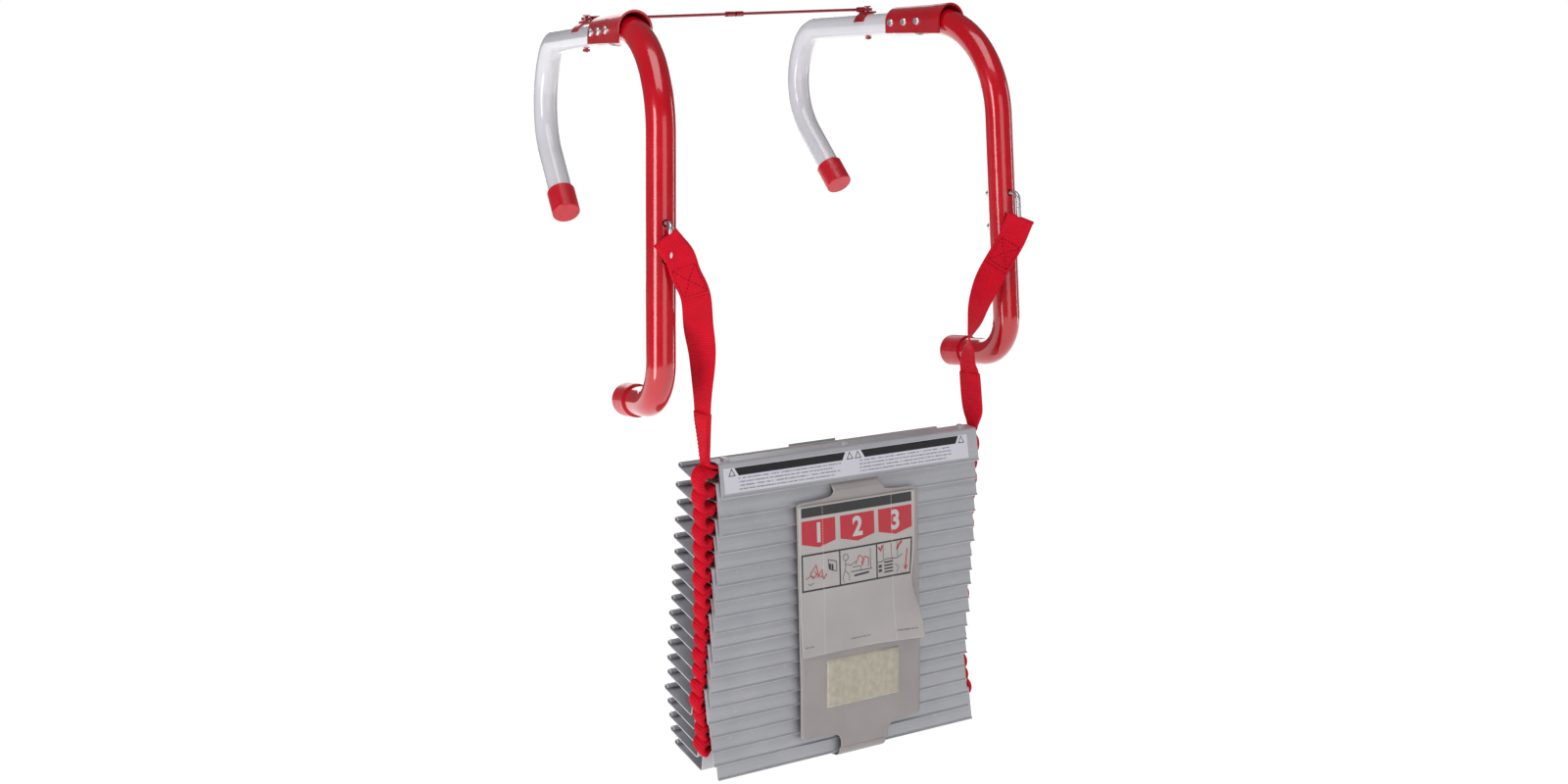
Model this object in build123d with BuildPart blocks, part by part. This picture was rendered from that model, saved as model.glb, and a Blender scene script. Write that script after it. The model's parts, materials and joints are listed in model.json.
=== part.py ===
"""Window escape ladder: two folding sill hooks, webbing rails and a nest of steel rungs.

Millimetres. +Z is up, +X runs along the rungs and +Y points into the room.
The origin is where the window sill lies, midway between the hooks, under their arms.
"""

import os
from math import cos, exp, radians, sin, tan

from build123d import *

# Hook tubes
leg_radius = 12.7
leg_wall = 1.6
leg_height = 319.4  # axis of the foot to axis of the top
top_bend = 95.4
foot_bend = 34.8
foot_reach = 85.3  # leg axis to the face of the foot cap
arm_radius = 11.1
arm_wall = 1.5
arm_rise = 1.9  # degrees, arm against the square to the leg
arm_straight = 183.7  # pivot to the start of the arm's bend
knuckle_bend = 26.9
knuckle_turn = 56.0
curl_bend = 76.1
curl_turn = 75.6
arm_tail = 70.8
bend_link = 0.6

# Folding sleeve and its pins
pivot_reach = 99.0  # leg axis to the pivot
sleeve_gap = 13.2  # half the width inside
sleeve_wall = 1.9
sleeve_tail = 35.0  # behind the pivot, over the leg's bend
sleeve_nose = 49.0  # in front of the pivot, over the arm
sleeve_skirt = 10.0  # below the axis at the nose
sleeve_skirt_tail = 13.0
rivet_spots = (20.5, 41.0)
swage_length = 30.0
nose_gap = 0.7
nose_clearance = 0.1
pin_radius = 3.0
pin_clearance = 0.06
head_radius = 3.8
head_height = 1.6

# U-bolts
ubolt_drop = 184.0
ubolt_spread = 31.0
ubolt_wire = 2.3
ubolt_reach = 24.0
ubolt_tail = 20.5
ubolt_bend = 7.0
nut_across = 9.0
nut_height = 3.6

# Push-on caps
cap_wall = 1.9
cap_cover = 26.0
cap_floor = 2.2

# Hooks where they hang: x, y, z of the top bend's axis, then yaw, tilt and roll in degrees
hooks = {
    "left": ((-203.1, -154.8, 18.3), -18.4, -4.8, 2.1),
    "right": ((203.1, -144.3, 26.5), -5.7, -4.0, -0.5),
}

# Spreader cable
clip_reach = 97.0  # pivot to the clip, along the arm
clip_plate = 1.5
clip_length = 15.0
clip_wide = 10.0
clip_grip = 3.0  # lowest edge of the clip's saddle, above the arm's axis
clip_height = 6.4
cable_radius = 1.4
cable_lift = 4.2  # cable's axis above the arm
eye_radius = 3.3
ferrule_radius = 2.5
ferrule_length = 9.0
ferrule_gap = 3.0

# Rungs
rung_count = 19
rung_length = 312.0
rung_sheet = 1.0
rung_centre = -8.0
stack_front = -175.0
stack_top = -358.4
flange_height = 28.0
flange_splay = 4.2
top_depth = 14.0
top_lean = 2.0
web_height = 28.0
web_splay = 4.0
corner_radius = 1.6
shelf_depth = 36.0
shelf_rise = 17.0
hem_radius = 2.6
lip_length = 2.2
nest_pitch = 13.0
nest_loose = 4.0
nest_settle = 3.0
nest_lead = 4.0  # the nest's top rung stands to one side, those below drift back past the middle
nest_drift = 19.0
nest_return = 65.0
nest_turn = 0.8
stagger = 1.2

# Label on the top rung
label_inset = 4.0
label_wide = 295.0
label_top = 4.2
label_bottom = 26.0
label_sheet = 0.25

# Webbing rails
webbing_wide = 12.6  # folded in half along its length
webbing_thick = 2.8
slack_drop = 2.8
slack_step = 4.4
lobe_line = {"left": -175.0, "right": 140.0}  # the bights bow out at least as far as this
lobe_margin = 3.2  # past the rungs' ends
anchor_inset = 13.0
fold_gap = 6.0
eye_wide = 15.0
rivet_radius = 2.3
rivet_dome = 2.0
rivet_depth_in = 6.2
rivet_washer = 0.9
strap_thick = 3.0
strap_wide = 25.4
strap_clearance = 0.1

# Retaining band
band_centre = -1.5
band_sheet = 0.7
band_gap = 2.2
band_neck = 57.0
band_panel = 147.0
panel_top = 44.0  # below the stack's top edge
panel_bottom = 257.0
panel_corner = 5.0
shoulder_radius = 11.0
neck_shift = 4.0
patch_wide = 88.0
patch_tall = 44.0
patch_shift = 3.5
patch_drop = 211.5  # stack's top edge to the patch's middle
patch_thick = 1.6
flap_wide = 141.0
flap_tall = 137.0
flap_shift = -2.0
flap_drop = 114.6
flap_sheet = 0.6

os.makedirs("parts", exist_ok=True)


def save(piece, name):
    """Labels a finished piece and writes its STEP file."""
    piece.part.label = name
    export_step(piece.part, f"parts/{name}.step")


def shift_of(number):
    """How far a rung sits to one side in the nest, in millimetres."""
    down = (number - 1) / (rung_count - 1)
    drift = nest_lead - nest_drift * down + nest_return * max(0, down - nest_turn)
    return drift + stagger * sin(2.4 * number)


def ends_of(number):
    """Where a rung's left and right ends are, in millimetres."""
    middle = rung_centre + shift_of(number)
    return (middle - rung_length / 2, middle + rung_length / 2)


def hook_plane(place, yaw, tilt, roll):
    """The plane a hook lies in: local x runs to the room, local y up the leg."""
    turned = [
        Vector(*d).rotate(Axis.X, tilt).rotate(Axis.Y, roll).rotate(Axis.Z, yaw)
        for d in ((0, 1, 0), (1, 0, 0))
    ]
    return Plane(origin=place, x_dir=turned[0], z_dir=turned[1])


def start_of(path):
    """The plane square to a path at its first end."""
    return Plane(origin=path.line @ 0, z_dir=path.line % 0)


def end_of(path):
    """The plane square to a path at its last end."""
    return Plane(origin=path.line @ 1, z_dir=path.line % 1)


def cross(hook, x, y, along=(1, 0)):
    """A plane at a point of the hook's plane whose normal lies in it, along the given way."""
    origin = hook.from_local_coords((x, y, 0))
    ahead = hook.from_local_coords((x + along[0], y + along[1], 0))
    return Plane(origin=origin, x_dir=-hook.z_dir, z_dir=ahead - origin)


def arm_plane_of(hook):
    """The hook's plane moved to the pivot and turned up by the arm's rise."""
    rise = radians(arm_rise)
    pivot = hook.from_local_coords((pivot_reach, 0, 0))
    ahead = hook.from_local_coords((pivot_reach + cos(rise), sin(rise), 0))
    return Plane(origin=pivot, x_dir=ahead - pivot, z_dir=hook.z_dir)


def bolt_route(hook):
    """The centreline of a hook's U-bolt."""
    with BuildLine(hook) as route:
        FilletPolyline(
            (ubolt_tail, ubolt_levels[0]),
            (-ubolt_reach, ubolt_levels[0]),
            (-ubolt_reach, ubolt_levels[1]),
            (ubolt_tail, ubolt_levels[1]),
            radius=ubolt_bend,
        )
    return route


def arm_corners():
    """The corners of the arm's centreline, and the arm's end, from its bends."""
    turn = radians(knuckle_turn)
    total = radians(knuckle_turn + curl_turn)
    first = arm_straight + knuckle_bend * tan(turn / 2)
    link = knuckle_bend * tan(turn / 2) + curl_bend * tan(radians(curl_turn / 2)) + bend_link
    second = (first + link * cos(turn), -link * sin(turn))
    last = curl_bend * tan(radians(curl_turn / 2)) + arm_tail
    end = (second[0] + last * cos(total), second[1] - last * sin(total))
    return (first, 0), second, end


# ---------------------------------------------------------------- hooks
planes = {side: hook_plane(*where) for side, where in hooks.items()}
ubolt_levels = (-ubolt_drop + ubolt_spread / 2, -ubolt_drop - ubolt_spread / 2)

for side, hook in planes.items():
    arm_plane = arm_plane_of(hook)
    corner, curl_corner, arm_end = arm_corners()

    with BuildPart() as leg_tube:
        with BuildLine(hook) as leg_path:
            FilletPolyline(
                (foot_reach - cap_floor, -leg_height),
                (0, -leg_height),
                (0, 0),
                (pivot_reach + leg_radius + 2, 0),
                radius=[foot_bend, top_bend],
            )
        with BuildSketch(start_of(leg_path)):
            Circle(leg_radius)
            Circle(leg_radius - leg_wall, mode=Mode.SUBTRACT)
        sweep()
        with BuildSketch(hook):
            with Locations((pivot_reach, 0)):
                Rectangle(3 * leg_radius, 4 * leg_radius, align=(Align.MIN, Align.CENTER))
                Circle(leg_radius, mode=Mode.SUBTRACT)
        extrude(amount=2 * leg_radius, both=True, mode=Mode.SUBTRACT)
        pivot = Plane(hook.from_local_coords((pivot_reach, 0)), x_dir=hook.x_dir, z_dir=hook.z_dir)
        with BuildPart(pivot, mode=Mode.PRIVATE) as beyond_nose:
            Box(*[4 * leg_radius] * 3, align=(Align.MIN, Align.CENTER, Align.CENTER))
            Sphere(sleeve_gap - nose_clearance, mode=Mode.SUBTRACT)
        add(beyond_nose.part, mode=Mode.SUBTRACT)
        with BuildSketch(hook):
            with Locations((pivot_reach, 0)):
                Circle(pin_radius + pin_clearance)
        extrude(amount=2 * leg_radius, both=True, mode=Mode.SUBTRACT)
        for level in ubolt_levels:
            with BuildSketch(cross(hook, 0, level)):
                Circle(ubolt_wire + 0.9)
            extrude(amount=2 * leg_radius, both=True, mode=Mode.SUBTRACT)
    save(leg_tube, f"{side}_leg_tube")

    with BuildPart() as arm_tube:
        with BuildLine(arm_plane) as arm_path:
            FilletPolyline(
                (leg_radius + nose_gap, 0),
                corner,
                curl_corner,
                arm_end,
                radius=[knuckle_bend, curl_bend],
            )
        with BuildSketch(start_of(arm_path)):
            Circle(arm_radius)
        sweep()
        swage_end = leg_radius + nose_gap + swage_length
        with BuildSketch(cross(arm_plane, leg_radius + nose_gap, 0)):
            Circle(sleeve_gap - 0.05)
        extrude(amount=swage_length)
        with BuildSketch(cross(arm_plane, swage_end, 0)):
            Circle(sleeve_gap - 0.05)
        with BuildSketch(cross(arm_plane, swage_end + 6, 0)):
            Circle(arm_radius)
        loft()
        with BuildSketch(start_of(arm_path)):
            Circle(arm_radius - arm_wall)
        sweep(path=arm_path.line, mode=Mode.SUBTRACT)
        for spot in rivet_spots:
            with BuildSketch(arm_plane):
                with Locations((spot, 0)):
                    Circle(pin_radius)
            extrude(amount=2 * arm_radius, both=True, mode=Mode.SUBTRACT)
        with BuildSketch(cross(arm_plane, clip_reach, 0, (0, 1))):
            Circle(cable_radius + 0.4)
        extrude(amount=2 * arm_radius, both=True, mode=Mode.SUBTRACT)
    save(arm_tube, f"{side}_arm_tube")

    with BuildPart() as arm_cap:
        face = end_of(arm_path)
        with BuildSketch(face.offset(cap_floor)):
            Circle(arm_radius + cap_wall)
        extrude(amount=-cap_cover)
        fillet(arm_cap.faces().sort_by(Axis(face.origin, face.z_dir))[-1].edges(), 1.2)
        with BuildSketch(face.offset(0.05)):
            Circle(arm_radius + 0.05)
        extrude(amount=-cap_cover, mode=Mode.SUBTRACT)
    save(arm_cap, f"{side}_arm_cap")

    with BuildPart() as sleeve:
        stations = (
            (-sleeve_tail, sleeve_gap + 0.9, sleeve_skirt_tail),
            (0.0, sleeve_gap, sleeve_skirt_tail - 1.5),
            (sleeve_nose, sleeve_gap, sleeve_skirt),
        )
        for mode, grow in ((Mode.ADD, sleeve_wall), (Mode.SUBTRACT, 0.0)):
            for station, following in zip(stations, stations[1:]):
                for reach, inside, skirt in (station, following):
                    with BuildSketch(cross(arm_plane, reach, 0)):
                        Circle(inside + grow)
                        Rectangle(
                            2 * (inside + grow),
                            skirt + (0 if grow else 3),
                            align=(Align.CENTER, Align.MAX),
                        )
                        with Locations((0, -skirt - (0 if grow else 3))):
                            Rectangle(60, 60, align=(Align.CENTER, Align.MAX), mode=Mode.SUBTRACT)
                loft(mode=mode)
        for spot in (0.0, *rivet_spots):
            with BuildSketch(arm_plane):
                with Locations((spot, 0)):
                    Circle(pin_radius + (0 if spot else pin_clearance))
            extrude(amount=2 * leg_radius, both=True, mode=Mode.SUBTRACT)
    save(sleeve, f"{side}_sleeve")

    with BuildPart() as sleeve_rivets:
        for spot in rivet_spots:
            with BuildSketch(arm_plane):
                with Locations((spot, 0)):
                    Circle(pin_radius)
            extrude(amount=sleeve_gap + sleeve_wall, both=True)
            for way in (1, -1):
                with BuildSketch(arm_plane.offset(way * (sleeve_gap + sleeve_wall))):
                    with Locations((spot, 0)):
                        Circle(head_radius)
                extrude(amount=way * head_height, taper=25)
    save(sleeve_rivets, f"{side}_sleeve_rivets")

    clip_face = cross(arm_plane, clip_reach, arm_radius, (0, 1))
    with BuildPart() as cable_clip:
        with BuildSketch(cross(arm_plane, clip_reach - clip_length / 2, 0)):
            Circle(arm_radius + clip_plate)
            Circle(arm_radius, mode=Mode.SUBTRACT)
            with Locations((0, clip_grip)):
                Rectangle(60, 60, align=(Align.CENTER, Align.MAX), mode=Mode.SUBTRACT)
        extrude(amount=clip_length)
        with BuildSketch(clip_face):
            Rectangle(clip_wide, clip_length)
        extrude(amount=clip_plate + 0.6)
        with BuildSketch(clip_face):
            Circle(cable_radius + 0.3)
        extrude(amount=clip_height)
        with BuildSketch(clip_face.offset(clip_height)):
            Circle(cable_radius + 1.9)
        extrude(amount=1.2)
        with BuildSketch(clip_face):
            Circle(cable_radius + 0.3)
        extrude(amount=-2 * arm_radius - 3.4)
        with BuildSketch(clip_face.offset(-2 * arm_radius - 0.4)):
            RegularPolygon(3.4, 6)
        extrude(amount=-2.4)
    save(cable_clip, f"{side}_cable_clip")

# Foot caps, pivot pins, U-bolts and their nuts come in pairs, one for each hook
with BuildPart() as foot_caps:
    for hook in planes.values():
        with BuildSketch(cross(hook, foot_reach, -leg_height)):
            Circle(leg_radius + cap_wall)
        extrude(amount=-cap_cover)
    for hook in planes.values():
        sole = cross(hook, foot_reach, -leg_height)
        fillet(foot_caps.faces().sort_by_distance(sole.origin)[0].edges(), 1.2)
        with BuildSketch(sole.offset(-cap_floor + 0.05)):
            Circle(leg_radius + 0.05)
        extrude(amount=-cap_cover, mode=Mode.SUBTRACT)
save(foot_caps, "foot_caps")

with BuildPart() as pivot_pins:
    for hook in planes.values():
        arm_plane = arm_plane_of(hook)
        reach = sleeve_gap + sleeve_wall + 0.15
        with BuildSketch(arm_plane):
            Circle(pin_radius)
        extrude(amount=reach, both=True)
        for way in (1, -1):
            with BuildSketch(arm_plane.offset(way * reach)):
                Circle(head_radius)
            extrude(amount=way * head_height, taper=25)
save(pivot_pins, "pivot_pins")

with BuildPart() as u_bolts:
    for hook in planes.values():
        bolt_path = bolt_route(hook)
        with BuildSketch(start_of(bolt_path)):
            Circle(ubolt_wire)
        sweep(path=bolt_path.line)
save(u_bolts, "u_bolts")

with BuildPart() as u_bolt_nuts:
    for hook in planes.values():
        for level in ubolt_levels:
            with BuildSketch(cross(hook, leg_radius, level)):
                Circle(nut_across / 2 + 0.9)
                Circle(ubolt_wire + 0.05, mode=Mode.SUBTRACT)
            extrude(amount=0.8)
            with BuildSketch(cross(hook, leg_radius + 0.8, level)):
                RegularPolygon(nut_across / 2, 6)
                Circle(ubolt_wire + 0.05, mode=Mode.SUBTRACT)
            extrude(amount=nut_height)
save(u_bolt_nuts, "u_bolt_nuts")

# ---------------------------------------------------------------- spreader cable
clip_points = [
    arm_plane_of(hook).from_local_coords((clip_reach, arm_radius + cable_lift, 0))
    for hook in planes.values()
]
span = clip_points[1] - clip_points[0]
across = span.normalized()
clip_up = Vector(0, 0, 1)
with BuildPart() as spreader_cable:
    for point, way in zip(clip_points, (across, -across)):
        with BuildSketch(Plane(origin=point - clip_up * cable_radius, x_dir=way, z_dir=clip_up)):
            Circle(eye_radius + cable_radius)
            Circle(eye_radius - cable_radius, mode=Mode.SUBTRACT)
        extrude(amount=2 * cable_radius)
    run_start = clip_points[0] + across * eye_radius
    with BuildSketch(Plane(origin=run_start, z_dir=across)):
        Circle(cable_radius)
    extrude(amount=span.length - 2 * eye_radius)
    middle = clip_points[0] + span * 0.5
    ferrules = (
        (clip_points[0] + across * (eye_radius + 2), across),
        (clip_points[1] - across * (eye_radius + 2), -across),
        (middle - across * (ferrule_gap / 2 + ferrule_length), across),
        (middle + across * (ferrule_gap / 2 + ferrule_length), -across),
    )
    for point, way in ferrules:
        with BuildSketch(Plane(origin=point, z_dir=way)):
            Circle(ferrule_radius)
        extrude(amount=ferrule_length)
save(spreader_cable, "spreader_cable")

# ---------------------------------------------------------------- rungs
settling = [nest_pitch + nest_loose * exp(-gap / nest_settle) for gap in range(rung_count - 1)]
levels = [stack_top - sum(settling[:above]) for above in range(rung_count)]
rivet_depth = stack_front + top_depth / 2 + 0.2
lean = Vector(0, -top_lean, top_depth).normalized()


def rivet_places(number, middle=False):
    """Planes square to a rung's top plate where its end rivets stand, and its middle one if asked."""
    level = levels[number - 1]
    rise = top_lean / 2 + rung_sheet / 2 + 0.06
    left, right = ends_of(number)
    spots = [left + anchor_inset, right - anchor_inset]
    if middle:
        spots.append(rung_centre)
    return [Plane(origin=(x, rivet_depth, level + rise), x_dir=(1, 0, 0), z_dir=lean) for x in spots]


for number, level in enumerate(levels, start=1):
    with BuildPart() as rung:
        with BuildSketch(Plane.YZ.offset(ends_of(number)[0])):
            with BuildLine():
                shelf = (top_depth + web_splay + shelf_depth, top_lean - web_height + shelf_rise)
                points = (
                    (-flange_splay - lip_length * 0.7, -flange_height - lip_length * 0.7),
                    (-flange_splay, -flange_height),
                    (0, 0),
                    (top_depth, top_lean),
                    (top_depth + web_splay, top_lean - web_height),
                    shelf,
                )
                placed = [(stack_front + y, level + z) for y, z in points]
                FilletPolyline(*placed, radius=corner_radius)
                JernArc(placed[-1], (shelf_depth, shelf_rise), hem_radius - rung_sheet / 2, 260)
            trace(line_width=rung_sheet)
        extrude(amount=rung_length)
        rivets = rivet_places(number, middle=number == 1)
        for place in rivets:
            with BuildSketch(place):
                Circle(rivet_radius + 0.08)
            extrude(amount=-4, mode=Mode.SUBTRACT)
        for place in rivets:
            with BuildSketch(place):
                Circle(rivet_radius)
            extrude(amount=-rivet_depth_in)
            with BuildSketch(place):
                Circle(2 * rivet_radius)
            extrude(amount=rivet_dome, taper=30)
            with BuildSketch(place.offset(-rivet_depth_in)):
                Circle(1.8 * rivet_radius)
            extrude(amount=rivet_washer)
    save(rung, f"rung_{number:02d}")

with BuildPart() as top_rung_label:
    with BuildSketch(Plane.YZ.offset(ends_of(1)[0] + label_inset)):
        with BuildLine():
            stand = rung_sheet / 2 + 0.05 + label_sheet / 2
            slope = flange_splay / flange_height
            Line(
                (stack_front - stand - label_top * slope, stack_top - label_top),
                (stack_front - stand - label_bottom * slope, stack_top - label_bottom),
            )
        trace(line_width=label_sheet)
    extrude(amount=label_wide)
save(top_rung_label, "top_rung_label")

# ---------------------------------------------------------------- webbing between the rungs
channel_back = stack_front + 0.9 + webbing_wide
for number, (upper, lower) in enumerate(zip(levels, levels[1:]), start=1):
    with BuildPart() as webbing:
        for side, inward in (("left", 1), ("right", -1)):
            upper_end, lower_end = (ends_of(n)[side == "right"] for n in (number, number + 1))
            start = upper_end + inward * (anchor_inset + 5.3)
            fold = rung_centre - inward * fold_gap
            past = max(-inward * upper_end, -inward * lower_end) + lobe_margin
            bow = -inward * max(-inward * lobe_line[side], past)
            tab = lower_end + inward * (anchor_inset + 5)
            first = upper - slack_drop
            second = first - slack_step
            last = lower - slack_drop
            with BuildSketch(Plane.XZ.offset(-channel_back)):
                with BuildLine():
                    FilletPolyline(
                        (start, first),
                        (fold, first),
                        (fold, second),
                        (bow, second),
                        (bow, last),
                        (tab, last),
                        radius=[slack_step / 2 - 0.05] * 2 + [(second - last) / 2 - 0.05] * 2,
                    )
                trace(line_width=webbing_thick)
            extrude(amount=webbing_wide)
        for place in rivet_places(number + 1):
            with BuildSketch(place):
                Circle(rivet_radius + 0.5)
            extrude(amount=-rivet_depth_in + rivet_washer / 2, mode=Mode.SUBTRACT)
            with BuildSketch(place.offset(-slack_drop - webbing_thick / 2)):
                Circle(2 * rivet_radius)
            extrude(amount=-4, mode=Mode.SUBTRACT)
    save(webbing, f"webbing_{number:02d}")

# ---------------------------------------------------------------- webbing from the hooks to the top rung
# Each row: centre, heading of the ribbon's width in degrees about +Z, its rise in degrees, its width.
strap_routes = {
    "left": (
        ((-212.5, -191, -178), -41, 45, 22),
        ((-208.5, -192.5, -194), -41, 27, strap_wide),
        ((-203, -192, -211), -41, 15, strap_wide),
        ((-190.5, -185, -236), -43, 7, strap_wide),
        ((-180, -179, -262), -66, 4, strap_wide),
        ((-176, -174, -295), -88, 0, 24),
        ((-174, -172, -318), -90, 0, 20),
        ((-171, -170, -338), -90, 0, 15),
        ((-168.5, -167.8, -352), -90, 0, webbing_wide),
        ((-168.0, -167.8, -362.5), -90, 0, webbing_wide),
    ),
    "right": (
        ((210, -181, -170), -41, -50, 22),
        ((203, -180, -184), -41, -34, strap_wide),
        ((190, -179, -199), -41, -28, strap_wide),
        ((169, -178, -225), -30, -24, strap_wide),
        ((155, -175, -252), -5, -12, strap_wide),
        ((146, -173, -274), 45, 0, strap_wide),
        ((147, -171, -302), 85, 0, strap_wide),
        ((152, -170, -326), 90, 0, 24),
        ((156, -169, -344), 90, 0, 18),
        ((156.5, -167.8, -354), 90, 0, webbing_wide),
        ((156.2, -167.8, -362.5), 90, 0, webbing_wide),
    ),
}
with BuildPart() as upper_straps:
    for side, route in strap_routes.items():
        hook = planes[side]
        bow_middle = (-ubolt_reach, -ubolt_drop)
        wire_up = hook.from_local_coords((bow_middle[0], bow_middle[1] + 1)) - (
            hook.from_local_coords(bow_middle)
        )
        eye = Plane(
            origin=hook.from_local_coords((bow_middle[0], bow_middle[1] - eye_wide / 2)),
            z_dir=wire_up,
        )
        with BuildSketch(eye):
            Circle(ubolt_wire + strap_clearance + strap_thick / 2)
        extrude(amount=eye_wide)
        centres = [Vector(*row[0]) for row in route]
        out = (centres[0] - hook.from_local_coords(bow_middle)).normalized()
        begin = hook.from_local_coords(bow_middle) + out * (ubolt_wire + strap_thick / 2)
        rows = [(begin, 0, 90, eye_wide)] + [(c, *row[1:]) for c, row in zip(centres, route)]
        for place, (centre, heading, rise, wide) in enumerate(rows):
            before = rows[max(place - 1, 0)][0]
            after = rows[min(place + 1, len(rows) - 1)][0]
            ahead = (after - before).normalized()
            flat = cos(radians(rise))
            width_way = Vector(
                flat * cos(radians(heading)), flat * sin(radians(heading)), sin(radians(rise))
            )
            width_way = (width_way - ahead * width_way.dot(ahead)).normalized()
            with BuildSketch(Plane(origin=centre, x_dir=width_way, z_dir=ahead)):
                Rectangle(wide, strap_thick)
        loft(ruled=True)
        end, inward = (ends_of(1)[0], 1) if side == "left" else (ends_of(1)[1], -1)
        tab_start = centres[-1].X - inward * strap_thick / 2
        tab_length = abs(end + inward * (anchor_inset + 5) - tab_start)
        with BuildSketch(Plane.YZ.offset(tab_start)):
            with Locations((channel_back - webbing_wide / 2, stack_top - slack_drop)):
                Rectangle(webbing_wide, webbing_thick)
        extrude(amount=inward * tab_length)
    for hook in planes.values():
        bolt_path = bolt_route(hook)
        with BuildSketch(start_of(bolt_path)):
            Circle(ubolt_wire + strap_clearance)
        sweep(path=bolt_path.line, mode=Mode.SUBTRACT)
    for place in rivet_places(1):
        with BuildSketch(place):
            Circle(rivet_radius + 0.5)
        extrude(amount=-rivet_depth_in + rivet_washer / 2, mode=Mode.SUBTRACT)
        with BuildSketch(place.offset(-slack_drop - webbing_thick / 2)):
            Circle(2 * rivet_radius)
        extrude(amount=-4, mode=Mode.SUBTRACT)
save(upper_straps, "upper_straps")

# ---------------------------------------------------------------- retaining band
band_back = stack_front - flange_splay - lip_length - band_gap
neck_top = stack_top - flange_height - lip_length - 6.8
panel_high = stack_top - panel_top
panel_low = stack_top - panel_bottom
band_floor = levels[-1] - flange_height - lip_length - 2.5
with BuildPart() as band_front_panel:
    with BuildSketch(Plane.XZ.offset(-band_back)):
        with Locations((band_centre, (panel_high + panel_low) / 2)):
            RectangleRounded(band_panel, panel_high - panel_low, panel_corner)
        with Locations((band_centre, neck_top + 0.2)):
            Rectangle(band_neck, neck_top - panel_high + 5, align=(Align.CENTER, Align.MAX))
        with Locations((band_centre + neck_shift, panel_low + 5)):
            Rectangle(band_neck, panel_low + 5 - band_floor - 8, align=(Align.CENTER, Align.MAX))
        necks = ((band_centre, panel_high), (band_centre + neck_shift, panel_low))
        inner = []
        for middle, level in necks:
            for way in (-1, 1):
                inner.append((middle + way * band_neck / 2, level))
        outline = Plane.XZ.offset(-band_back)
        junctions = []
        for vertex in vertices():
            spot = outline.to_local_coords(Vector(*vertex.to_tuple()))
            if min(abs(spot.X - x) + abs(spot.Y - z) for x, z in inner) < 1:
                junctions.append(vertex)
        fillet(junctions, shoulder_radius)
    extrude(amount=band_sheet)
    with BuildSketch(Plane.YZ.offset(band_centre - band_neck / 2)):
        with BuildLine():
            FilletPolyline(
                (stack_front - 2.35, stack_top - flange_height + 4),
                (stack_front - 3.4, stack_top - flange_height - 3.3),
                (band_back - band_sheet / 2, neck_top),
                radius=1,
            )
        trace(line_width=band_sheet * 0.8)
    extrude(amount=band_neck)
save(band_front_panel, "band_front_panel")

with BuildPart() as band_rear_strap:
    rear = stack_front + top_depth + web_splay + shelf_depth + hem_radius + 4.5
    front = band_back - band_sheet / 2
    with BuildSketch(Plane.YZ.offset(band_centre + neck_shift - band_neck / 2)):
        with BuildLine():
            FilletPolyline(
                (front, band_floor + 7.9),
                (front, band_floor),
                (rear, band_floor),
                (rear, stack_top - web_height + shelf_rise + 7),
                radius=6,
            )
        trace(line_width=band_sheet)
    extrude(amount=band_neck)
save(band_rear_strap, "band_rear_strap")

patch_face = band_back - band_sheet - 0.05
with BuildPart() as hook_loop_patch:
    with BuildSketch(Plane.XZ.offset(-patch_face)):
        with Locations((band_centre + patch_shift, stack_top - patch_drop)):
            RectangleRounded(patch_wide, patch_tall, 1.5)
    extrude(amount=patch_thick)
save(hook_loop_patch, "hook_loop_patch")

with BuildPart() as instruction_flap:
    with BuildSketch(Plane.XZ.offset(-patch_face)):
        with Locations((band_centre + flap_shift, stack_top - flap_drop)):
            RectangleRounded(flap_wide, flap_tall, 2)
    extrude(amount=flap_sheet)
save(instruction_flap, "instruction_flap")
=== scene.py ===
"""Looks of a window escape ladder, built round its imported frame. Metres, in the frame's own axes."""

import json
from math import cos, pi, radians, sin

import bpy
import numpy as np
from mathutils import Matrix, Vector


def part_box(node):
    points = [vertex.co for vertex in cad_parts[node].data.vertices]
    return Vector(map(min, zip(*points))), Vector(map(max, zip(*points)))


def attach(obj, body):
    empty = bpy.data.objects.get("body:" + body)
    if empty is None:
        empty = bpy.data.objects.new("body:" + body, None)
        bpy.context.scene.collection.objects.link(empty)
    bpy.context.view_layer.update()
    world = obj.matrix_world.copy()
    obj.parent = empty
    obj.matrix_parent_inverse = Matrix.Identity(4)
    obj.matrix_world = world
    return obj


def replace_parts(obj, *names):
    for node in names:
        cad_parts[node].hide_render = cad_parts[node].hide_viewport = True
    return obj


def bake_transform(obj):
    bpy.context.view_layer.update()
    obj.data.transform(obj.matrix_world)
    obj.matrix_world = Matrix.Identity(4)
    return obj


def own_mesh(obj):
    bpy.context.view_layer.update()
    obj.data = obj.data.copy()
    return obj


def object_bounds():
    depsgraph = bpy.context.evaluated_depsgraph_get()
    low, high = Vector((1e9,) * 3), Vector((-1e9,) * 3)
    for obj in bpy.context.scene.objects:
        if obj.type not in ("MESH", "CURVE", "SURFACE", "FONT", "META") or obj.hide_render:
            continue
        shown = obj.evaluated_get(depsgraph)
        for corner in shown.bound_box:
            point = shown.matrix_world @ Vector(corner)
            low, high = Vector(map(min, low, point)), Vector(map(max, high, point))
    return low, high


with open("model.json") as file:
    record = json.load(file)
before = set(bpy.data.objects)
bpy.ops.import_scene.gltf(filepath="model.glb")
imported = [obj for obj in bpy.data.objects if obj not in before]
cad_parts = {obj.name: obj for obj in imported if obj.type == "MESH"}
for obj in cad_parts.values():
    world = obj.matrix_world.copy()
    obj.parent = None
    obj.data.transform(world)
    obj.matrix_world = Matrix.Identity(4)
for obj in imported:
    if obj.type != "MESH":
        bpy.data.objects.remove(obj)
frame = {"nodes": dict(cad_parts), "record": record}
cad_low, cad_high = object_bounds()
mm = 0.001
sides = {"left": -1, "right": 1}
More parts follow.
